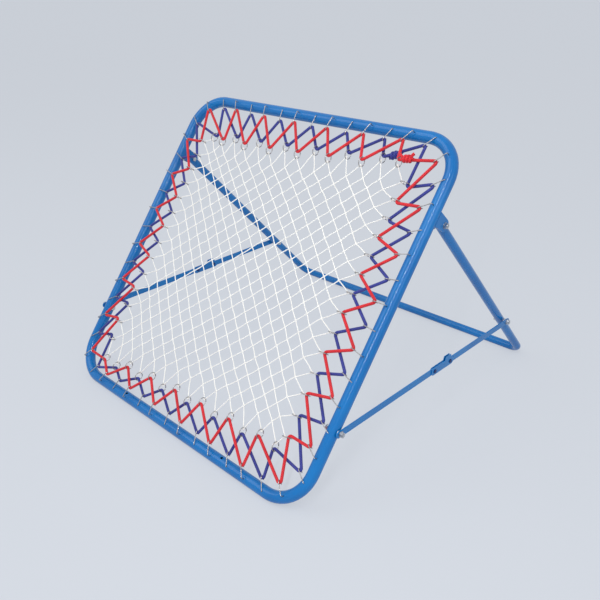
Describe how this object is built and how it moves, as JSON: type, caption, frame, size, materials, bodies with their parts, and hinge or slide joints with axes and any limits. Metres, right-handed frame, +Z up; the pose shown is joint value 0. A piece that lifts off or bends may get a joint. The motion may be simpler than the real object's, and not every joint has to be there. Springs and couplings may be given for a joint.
{
  "type": "pitch back rebounder",
  "caption": "Folding ball rebounder: a leaning square tube frame with a net laced in by elastic cords, hooks and rings, on a hinged rear leg with folding side struts",
  "frame": {"origin": "on the ground under the middle of the footprint", "axes": "+X to the right seen from the player's side, +Y back from the player toward the rear leg, +Z up"},
  "size_m": [1.0324, 1.1016, 0.7952],
  "materials": {
    "blue_tube": "gloss blue powder coat on bent steel tube",
    "blue_strut": "gloss blue powder coat on flat steel bar",
    "zinc_fastener": "zinc plated bolts, nuts, washers and spacers",
    "zinc_wire": "zinc plated steel wire",
    "dark_rivet": "dark steel rivets",
    "net_twine": "off-white knotted twine",
    "red_elastic": "braided red sheath over an elastic core",
    "blue_elastic": "braided navy sheath over an elastic core"
  },
  "bodies": {
    "frame": {"frame_tube": "blue_tube", "pivot_bracket_left": "blue_tube", "pivot_bracket_right": "blue_tube", "leg_pivot_bolts": "zinc_fastener", "leg_pivot_washers": "zinc_fastener", "leg_pivot_nuts": "zinc_fastener", "strut_frame_bolts": "zinc_fastener", "strut_frame_spacers": "zinc_fastener", "strut_frame_washers": "zinc_fastener", "strut_frame_nuts": "zinc_fastener", "frame_hooks": "zinc_wire", "net_rings": "zinc_wire", "net": "net_twine", "red_cord": "red_elastic", "red_cord_knot": "red_elastic", "blue_cord": "blue_elastic", "blue_cord_knot": "blue_elastic"},
    "rear_leg": {"rear_leg_tube": "blue_tube", "strut_leg_bolts": "zinc_fastener", "strut_leg_spacers": "zinc_fastener"},
    "lower_strut_left": {"lower_strut_bar_left": "blue_strut"},
    "upper_strut_left": {"upper_strut_bar_left": "blue_strut", "knee_channel_left": "blue_strut", "knee_rivets_left": "dark_rivet", "strut_end_nut_left": "zinc_fastener"},
    "lower_strut_right": {"lower_strut_bar_right": "blue_strut"},
    "upper_strut_right": {"upper_strut_bar_right": "blue_strut", "knee_channel_right": "blue_strut", "knee_rivets_right": "dark_rivet", "strut_end_nut_right": "zinc_fastener"}
  },
  "joints": [
    {"name": "rear_leg_fold", "type": "hinge", "parent": "frame", "child": "rear_leg", "pos_m": [0, -0.01975, 0.599], "axis": [-1, 0, 0], "range_deg": [0, 70]},
    {"name": "lower_strut_left_pivot", "type": "hinge", "parent": "frame", "child": "lower_strut_left", "pos_m": [-0.5048, -0.39998, 0.18542], "axis": [1, 0, 0], "range_deg": [0, 40.67]},
    {"name": "knee_left_pivot", "type": "hinge", "parent": "lower_strut_left", "child": "upper_strut_left", "pos_m": [-0.5048, -0.01386, 0.18531], "axis": [-1, 0, 0], "range_deg": [0, 156.36]},
    {"name": "lower_strut_right_pivot", "type": "hinge", "parent": "frame", "child": "lower_strut_right", "pos_m": [0.5048, -0.39998, 0.18542], "axis": [1, 0, 0], "range_deg": [0, 40.67]},
    {"name": "knee_right_pivot", "type": "hinge", "parent": "lower_strut_right", "child": "upper_strut_right", "pos_m": [0.5048, -0.01386, 0.18531], "axis": [-1, 0, 0], "range_deg": [0, 156.36]}
  ],
  "couplings": [
    {"joint": "lower_strut_left_pivot", "follows": "rear_leg_fold", "ratio": 0.581},
    {"joint": "knee_left_pivot", "follows": "rear_leg_fold", "ratio": 2.2337},
    {"joint": "lower_strut_right_pivot", "follows": "rear_leg_fold", "ratio": 0.581},
    {"joint": "knee_right_pivot", "follows": "rear_leg_fold", "ratio": 2.2337}
  ]
}
